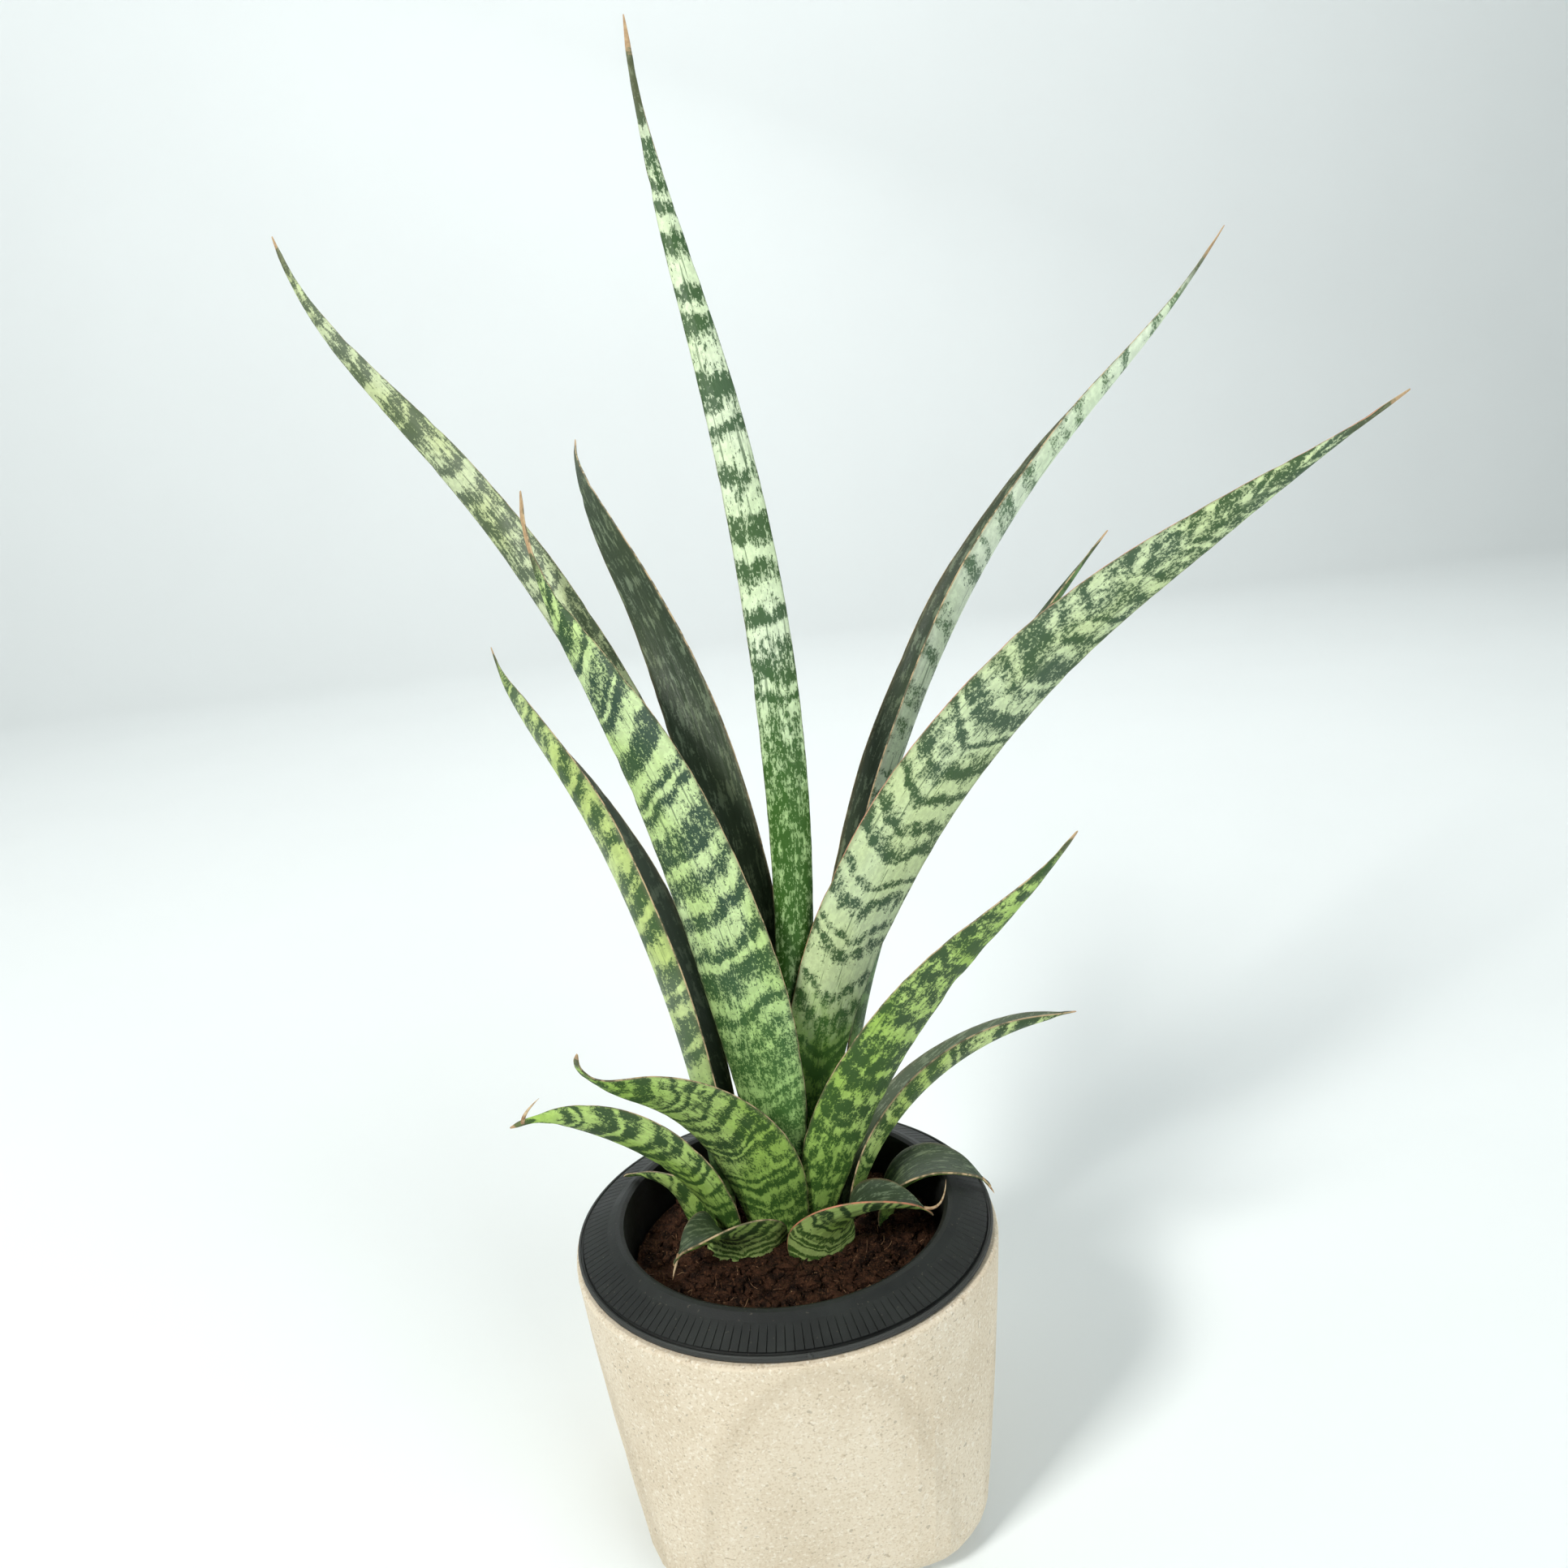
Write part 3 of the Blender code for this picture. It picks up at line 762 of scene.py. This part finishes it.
def castSkin():
    g = Graph("creamCast")
    at = g.coords()
    cloud = g.noise(g.scaled(at, (26, 26, 26)), 3.0, 0.55)
    color = g.mix(g.ramp(cloud, 0.35, 0.65), srgb(*castSpec["cream"]), srgb(*castSpec["creamPale"]))
    fine = g.noise(g.scaled(at, (1300, 1300, 1300)), 3.0, 0.6)
    color = g.mix(g.ramp(fine, 0.50, 0.64, 0.0, 0.55), color, srgb(*castSpec["sand"]))
    pale = g.noise(g.scaled(at, (900, 900, 900), (3, 3, 3)), 2.0, 0.5)
    color = g.mix(g.ramp(pale, 0.56, 0.68, 0.0, 0.65), color, srgb(*castSpec["chalk"]))
    speck = g.noise(g.scaled(at, (700, 700, 700), (7, 1, 4)), 1.0, 0.4)
    color = g.mix(g.ramp(speck, 0.68, 0.73, 0.0, 0.55), color, srgb(*castSpec["speck"]))
    grey = g.noise(g.scaled(at, (430, 430, 430), (1, 8, 2)), 1.0, 0.4)
    color = g.mix(g.ramp(grey, 0.74, 0.77, 0.0, 0.45), color, srgb(*castSpec["stone"]))
    # painted shade: the flat panels are tinted a little darker than the round shoulder above them, and a
    # darker painted line runs along the arch where they meet
    x, y, z = g.split(at)
    reach = g.across(x, y)
    body = g.math("ADD", g.math("MULTIPLY", z, castSpec["flare"]), castSpec["foot"])
    shut = g.math("POWER", g.math("DIVIDE", z, castSpec["height"]), 6.0)
    dip = g.math("SUBTRACT", g.math("SUBTRACT", body, reach), g.math("MULTIPLY", shut, castSpec["close"]))
    arch, soft = castSpec["arch"], castSpec["archSoft"]
    color = g.mix(g.ramp(dip, arch - soft, arch + soft, 0.0, 0.12), color, srgb(*castSpec["panelShade"]))
    line = g.math("MULTIPLY", g.ramp(dip, arch - soft, arch), g.ramp(dip, arch, arch + 2 * soft, 1.0, 0.0))
    color = g.mix(g.math("MULTIPLY", line, 0.16), color, srgb(*castSpec["panelEdgeShade"]))
    dimple = g.noise(g.scaled(at, (330, 330, 330)), 2.0, 0.5)
    normal = g.bump(fine, 0.30, 0.0003)
    normal = g.bump(dimple, 0.22, 0.0008, normal)
    normal = g.bump(cloud, 0.15, 0.002, normal)
    g.shader.inputs["Specular IOR Level"].default_value = 0.3
    return g.finish(color, g.ramp(fine, 0.3, 0.7, 0.66, 0.84), normal)


pot = cadNodes["outer_pot"]
pot.data.materials.clear()
pot.data.materials.append(castSkin())
print("planter skinned")


collarSpec = {
    "ribs": 150, "ribShare": 0.95, "ribTop": 0.94, "ribHeight": 0.00007, "sink": 0.00012,
    "from": 0.0530, "to": 0.0632, "throat": 0.0513, "drop": 0.0060,
    "bead": 0.00045, "beadLift": 0.0001,
    "nub": 0.0009, "nubTurn": -91.5, "nubSunk": 0.0003, "nubDrop": 0.0062,
    "black": (28, 30, 29), "dusty": (38, 41, 39), "fleck": (104, 98, 86),
    "lipHighlight": (84, 86, 84), "shade": (17, 16, 14),
    "lipFrom": 0.0637, "lipTo": 0.0642, "shadeTo": 0.0505, "shadeFrom": 0.0520,
}


def linerSkin():
    g = Graph("blackLiner")
    at = g.coords()
    x, y, _ = g.split(at)
    radius = g.across(x, y)
    dust = g.noise(g.scaled(at, (70, 70, 70)), 3.0, 0.6)
    fine = g.noise(g.scaled(at, (1800, 1800, 1800)), 2.0, 0.6)
    color = g.mix(g.ramp(dust, 0.35, 0.7), srgb(*collarSpec["black"]), srgb(*collarSpec["dusty"]))
    fleck = g.noise(g.scaled(at, (900, 900, 900), (2, 5, 1)), 1.0, 0.5)
    color = g.mix(g.ramp(fleck, 0.71, 0.76, 0.0, 0.35), color, srgb(*collarSpec["fleck"]))
    # painted highlight: a paler grey band along the collar's outer lip stands in for the light caught by the
    # rolled edge
    lipHighlight = g.ramp(radius, collarSpec["lipFrom"], collarSpec["lipTo"])
    color = g.mix(g.math("MULTIPLY", lipHighlight, 0.35), color, srgb(*collarSpec["lipHighlight"]))
    # painted shade: the collar darkens towards its throat, where the inner wall falls into shadow
    inside = g.ramp(radius, collarSpec["shadeTo"], collarSpec["shadeFrom"], 1.0, 0.0)
    color = g.mix(g.math("MULTIPLY", inside, 0.7), color, srgb(*collarSpec["shade"]))
    normal = g.bump(fine, 0.25, 0.0002)
    rough = g.ramp(dust, 0.3, 0.7, 0.48, 0.62)
    g.shader.inputs["Specular IOR Level"].default_value = 0.32
    return g.finish(color, rough, normal)


def buildRibs():
    # fine ribs fan over the collar's slope: one rib is shaped, then set round in a ring
    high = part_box("inner_pot")[1]
    crest, outer, inner = high[2], high[0], collarSpec["throat"]
    fall = collarSpec["drop"] / (outer - inner)
    start, stop = collarSpec["from"], collarSpec["to"]
    reach, middle = stop - start, (start + stop) / 2
    pitch = 2 * math.pi / collarSpec["ribs"]
    dropSelection()
    bpy.ops.mesh.primitive_cube_add(size=1.0)
    rib = bpy.context.object
    rib.name = "collar_ribs"
    rib.scale = (reach, 1.0, collarSpec["ribHeight"] + collarSpec["sink"])
    settle(rib)
    for v in rib.data.vertices:
        at = v.co.x + middle
        slope = crest - fall * (at - inner)
        wide = at * pitch * collarSpec["ribShare"] / 2 * (1.0 if v.co.z < 0 else collarSpec["ribTop"])
        v.co = (at, math.copysign(wide, v.co.y), v.co.z + slope + collarSpec["ribHeight"] / 2)
    source = rib.data.copy()
    dropSelection()
    copies = [rib]
    for k in range(1, collarSpec["ribs"]):
        twin = bpy.data.objects.new("rib", source.copy())
        bpy.context.collection.objects.link(twin)
        twin.rotation_euler.z = k * pitch
        copies.append(twin)
    for twin in copies:
        twin.select_set(True)
    bpy.context.view_layer.objects.active = rib
    bpy.ops.object.join()
    settle(rib)
    rib.data.materials.append(bpy.data.materials["blackLiner"])
    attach(rib, "root")


def buildBead():
    # the rolled outer edge of the collar
    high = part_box("inner_pot")[1]
    thick = collarSpec["bead"]
    height = high[2] - collarSpec["drop"] + collarSpec["beadLift"]
    dropSelection()
    bpy.ops.mesh.primitive_torus_add(major_radius=high[0] - thick, minor_radius=thick,
                                     major_segments=180, minor_segments=12, location=(0.0, 0.0, height))
    bead = bpy.context.object
    bead.name = "collar_bead"
    settle(bead)
    bpy.ops.object.shade_smooth()
    bead.data.materials.append(bpy.data.materials["blackLiner"])
    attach(bead, "root")


def buildNub():
    # the small moulding point on the lip's front
    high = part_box("inner_pot")[1]
    turn = math.radians(collarSpec["nubTurn"])
    reach = high[0] - collarSpec["nubSunk"]
    place = (reach * math.cos(turn), reach * math.sin(turn), high[2] - collarSpec["nubDrop"])
    dropSelection()
    bpy.ops.mesh.primitive_uv_sphere_add(segments=20, ring_count=12, radius=collarSpec["nub"], location=place)
    nub = bpy.context.object
    nub.name = "collar_nub"
    settle(nub)
    bpy.ops.object.shade_smooth()
    nub.data.materials.append(bpy.data.materials["blackLiner"])
    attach(nub, "root")


liner = cadNodes["inner_pot"]
liner.data.materials.clear()
liner.data.materials.append(linerSkin())
buildRibs()
buildBead()
buildNub()
print("liner skinned")


def soilSkin():
    g = Graph("coirSoil")
    at = g.coords()
    lump = g.noise(g.scaled(at, (240, 240, 240)), 4.0, 0.6)
    fine = g.noise(g.scaled(at, (1300, 1300, 1300)), 3.0, 0.65)
    fibre = g.noise(g.scaled(at, (1400, 260, 700)), 2.0, 0.6)
    color = g.mix(g.ramp(lump, 0.36, 0.62), srgb(30, 18, 12), srgb(70, 45, 31))
    color = g.mix(g.ramp(fine, 0.55, 0.70, 0.0, 0.7), color, srgb(106, 74, 52))
    color = g.mix(g.ramp(fibre, 0.62, 0.70, 0.0, 0.5), color, srgb(124, 86, 58))
    color = g.mix(g.ramp(fine, 0.30, 0.42, 0.8, 0.0), color, srgb(12, 8, 6))
    normal = g.bump(fine, 0.9, 0.0010)
    normal = g.bump(lump, 0.9, 0.0025, normal)
    g.shader.inputs["Specular IOR Level"].default_value = 0.15
    return g.finish(color, 0.95, normal)


soilSpec = {"cuts": 170, "lumps": 0.0024, "lumpRate": 95, "grit": 0.0011, "gritRate": 700,
            "lift": 0.0010, "edgeFall": 0.0016, "edgeAt": 0.0485, "rimGap": 0.0008, "deep": 0.004,
            "crumbs": 2600, "crumbSizes": (0.0006, 0.0008, 0.0010, 0.0013, 0.0018), "crumbGap": 0.003,
            "fibres": 220, "fibreThick": 0.00016, "fibreGap": 0.006, "fibreEdge": 0.002}


def bedHeight(x, y):
    coarse, fine = soilSpec["lumpRate"], soilSpec["gritRate"]
    lump = noise.fractal(Vector((x * coarse, y * coarse, 2.0)), 0.7, 2.1, 4)
    grit = noise.noise(Vector((x * fine, y * fine, 5.0)))
    edge = math.hypot(x, y) / soilSpec["edgeAt"]
    height = soilSpec["lumps"] * lump + soilSpec["grit"] * grit
    return height + soilSpec["lift"] - soilSpec["edgeFall"] * edge ** 4


def buildSoil():
    # a lumpy closed bed over the CAD soil's flat top
    low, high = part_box("soil")
    radius, top = (high[0] - low[0]) / 2, high[2]
    dropSelection()
    bpy.ops.mesh.primitive_grid_add(x_subdivisions=soilSpec["cuts"], y_subdivisions=soilSpec["cuts"],
                                    size=2 * radius, location=(0, 0, top))
    bed = bpy.context.object
    bed.name = "soil_bed"
    settle(bed)
    bm = bmesh.new()
    bm.from_mesh(bed.data)
    gone = [v for v in bm.verts if math.hypot(v.co.x, v.co.y) > radius - soilSpec["rimGap"]]
    bmesh.ops.delete(bm, geom=gone, context="VERTS")
    for v in bm.verts:
        v.co.z += bedHeight(v.co.x, v.co.y)
    rim = [e for e in bm.edges if len(e.link_faces) == 1]
    made = bmesh.ops.extrude_edge_only(bm, edges=rim)["geom"]
    for v in [m for m in made if isinstance(m, bmesh.types.BMVert)]:
        v.co.z = top - soilSpec["deep"]
    under = [e for e in bm.edges if len(e.link_faces) == 1]
    bmesh.ops.holes_fill(bm, edges=under, sides=0)
    bmesh.ops.recalc_face_normals(bm, faces=bm.faces)
    bm.to_mesh(bed.data)
    bm.free()
    pick(bed)
    bpy.ops.object.shade_smooth()
    bed.data.materials.append(soilSkin())
    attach(bed, "root")
    return radius, top


bedRadius, bedTop = buildSoil()


def somewhere(gap):
    # a random place on the bed, as far as gap from its rim
    r, turn = (bedRadius - gap) * math.sqrt(random.random()), random.uniform(0, 2 * math.pi)
    return r * math.cos(turn), r * math.sin(turn)


def buildCrumbs():
    # clods and shreds of coir lie over the bed
    random.seed(90)
    dropSelection()
    bpy.ops.mesh.primitive_ico_sphere_add(subdivisions=1, radius=1.0)
    seedShape = bpy.context.object
    base = [v.co.copy() for v in seedShape.data.vertices]
    faces = [tuple(p.vertices) for p in seedShape.data.polygons]
    bpy.data.objects.remove(seedShape)
    points, sides = [], []
    for k in range(soilSpec["crumbs"]):
        x, y = somewhere(soilSpec["crumbGap"])
        size = random.choice(soilSpec["crumbSizes"])
        stretch = random.uniform(0.8, 2.6)
        spin = random.uniform(0, math.pi)
        z = bedTop + bedHeight(x, y) + size * 0.25
        first = len(points)
        for p in base:
            rough = random.uniform(0.7, 1.25)
            a, b, c = p.x * size * stretch * rough, p.y * size * rough, p.z * size * 0.8 * rough
            points.append((x + a * math.cos(spin) - b * math.sin(spin),
                           y + a * math.sin(spin) + b * math.cos(spin),
                           z + c + 0.25 * a * random.uniform(-1, 1)))
        sides += [tuple(first + n for n in f) for f in faces]
    mesh = bpy.data.meshes.new("soil_crumbs")
    mesh.from_pydata(points, [], sides)
    crumbs = bpy.data.objects.new("soil_crumbs", mesh)
    bpy.context.collection.objects.link(crumbs)
    mesh.materials.append(bpy.data.materials["coirSoil"])
    pick(crumbs)
    bpy.ops.object.shade_flat()
    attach(crumbs, "root")


def strawSkin():
    g = Graph("dryStraw")
    at = g.coords()
    worn = g.noise(g.scaled(at, (420, 420, 420)), 2.0, 0.6)
    color = g.mix(g.ramp(worn, 0.35, 0.65), srgb(92, 62, 42), srgb(150, 116, 82))
    return g.finish(color, 0.8, g.bump(worn, 0.4, 0.0004))


def buildFibres():
    # pale shreds lie on the bed and lift a little at one end
    random.seed(91)
    curve = bpy.data.curves.new("soil_fibres", "CURVE")
    curve.dimensions = "3D"
    curve.bevel_depth = soilSpec["fibreThick"]
    curve.bevel_resolution = 1
    curve.use_fill_caps = True
    for k in range(soilSpec["fibres"]):
        x, y = somewhere(soilSpec["fibreGap"])
        heading, bow = random.uniform(0, 2 * math.pi), random.uniform(-0.7, 0.7)
        length, lift = random.uniform(0.002, 0.008), random.uniform(0.0, 0.0016)
        spline = curve.splines.new("POLY")
        spline.points.add(4)
        for n in range(5):
            t = n / 4
            px = x + length * t * math.cos(heading + bow * t)
            py = y + length * t * math.sin(heading + bow * t)
            reach = min(1.0, (bedRadius - soilSpec["fibreEdge"]) / max(math.hypot(px, py), 1e-6))
            px, py = px * reach, py * reach
            spline.points[n].co = (px, py, bedTop + bedHeight(px, py) + 0.0002 + lift * t, 1.0)
            spline.points[n].radius = 1.0 - 0.6 * t
    fibres = bpy.data.objects.new("soil_fibres", curve)
    bpy.context.collection.objects.link(fibres)
    pick(fibres)
    bpy.ops.object.convert(target="MESH")
    fibres = bpy.context.object
    weld(fibres)
    fibres.data.materials.append(strawSkin())
    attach(fibres, "root")


buildCrumbs()
buildFibres()
cadNodes["soil"].data.materials.clear()
cadNodes["soil"].data.materials.append(bpy.data.materials["coirSoil"])
print("soil made")
